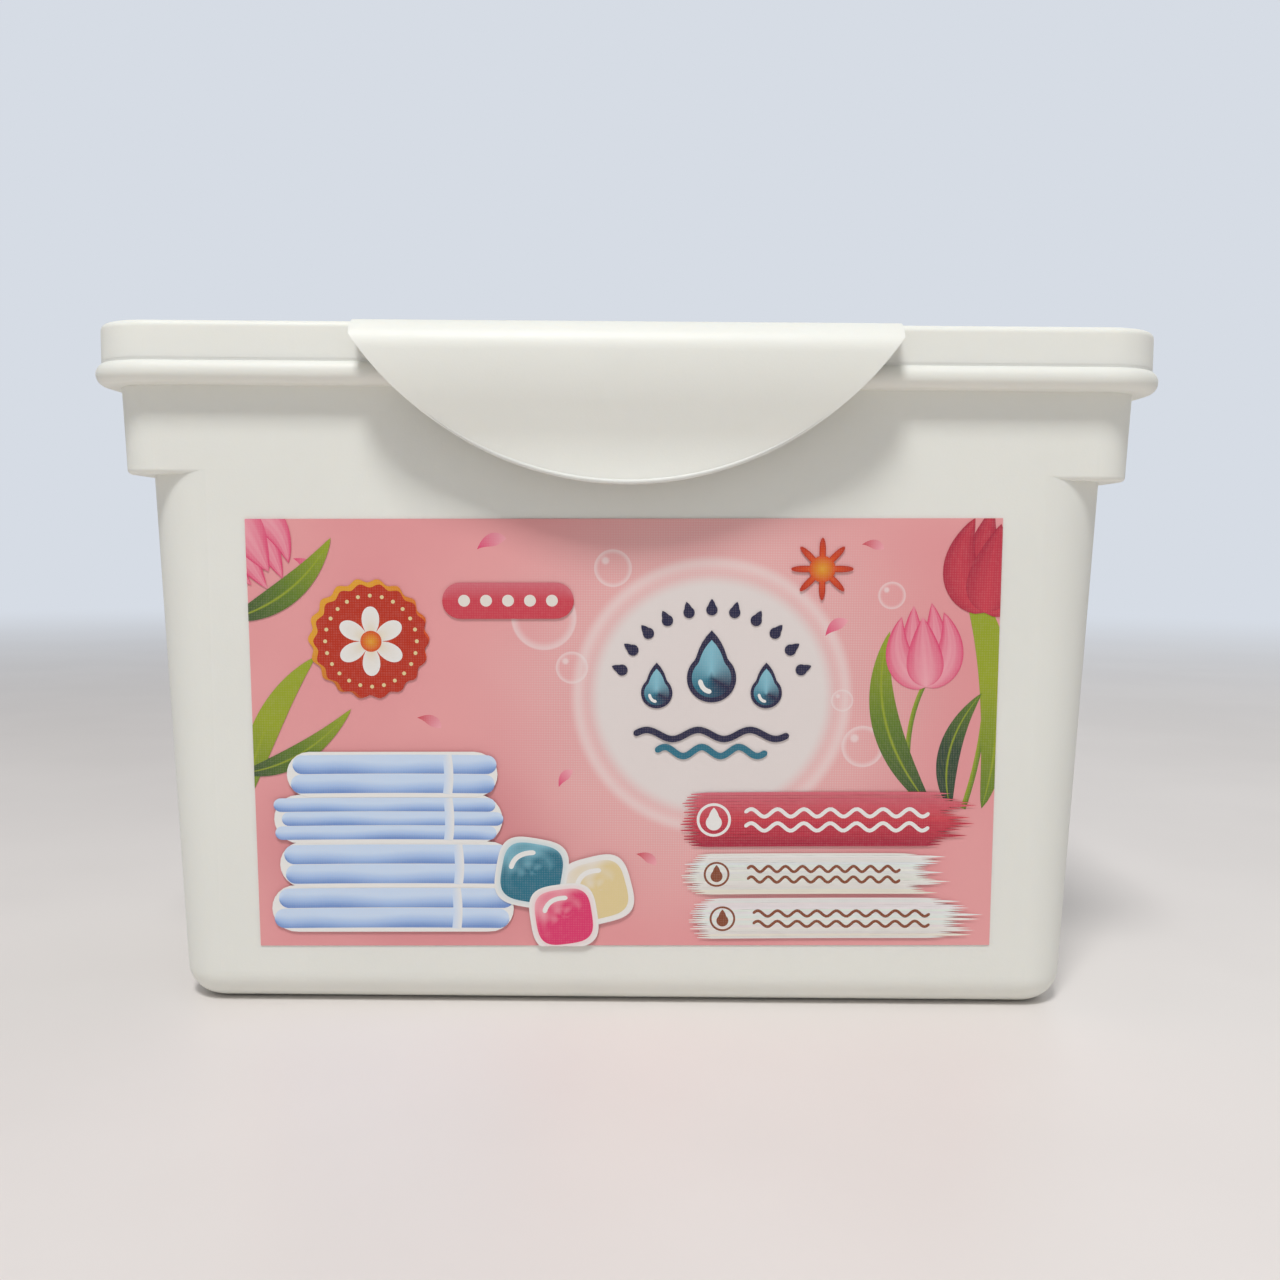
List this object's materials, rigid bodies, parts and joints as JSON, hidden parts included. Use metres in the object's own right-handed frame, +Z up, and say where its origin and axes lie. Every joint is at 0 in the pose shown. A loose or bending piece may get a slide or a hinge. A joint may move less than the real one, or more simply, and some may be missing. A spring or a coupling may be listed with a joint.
{
  "type": "pack of laundry pods",
  "caption": "Rectangular plastic tub with a hinged lid, a half-moon pull tab and a front label, filled with dissolvable laundry detergent pods.",
  "frame": {"origin": "centre of the tub's foot, where the pack stands", "axes": "+Z up; +X along the width, to the right seen from the front; the front with the pull tab and the label faces -Y, and the hinge is at +Y"},
  "size_m": [0.17, 0.0899, 0.1103],
  "materials": {
    "tub_plastic": "satin white polypropylene",
    "lid_plastic": "satin white polypropylene",
    "label_film": "printed film with a soft sheen",
    "pod_film": "glossy clear film round coloured liquid"
  },
  "bodies": {
    "tub": {"tub": "tub_plastic", "front_label": "label_film", "pod_01": "pod_film", "pod_02": "pod_film", "pod_03": "pod_film", "pod_04": "pod_film", "pod_05": "pod_film", "pod_06": "pod_film", "pod_07": "pod_film", "pod_08": "pod_film", "pod_09": "pod_film", "pod_10": "pod_film", "pod_11": "pod_film", "pod_12": "pod_film", "pod_13": "pod_film", "pod_14": "pod_film", "pod_15": "pod_film", "pod_16": "pod_film", "pod_17": "pod_film", "pod_18": "pod_film", "pod_19": "pod_film", "pod_20": "pod_film", "pod_21": "pod_film", "pod_22": "pod_film", "pod_23": "pod_film", "pod_24": "pod_film", "pod_25": "pod_film", "pod_26": "pod_film", "pod_27": "pod_film", "pod_28": "pod_film", "pod_29": "pod_film", "pod_30": "pod_film"},
    "lid": {"lid": "lid_plastic"}
  },
  "joints": [
    {"name": "lid_hinge", "type": "hinge", "parent": "tub", "child": "lid", "pos_m": [0, 0.0423, 0.1046], "axis": [-1, 0, 0], "range_deg": [0, 110]}
  ]
}
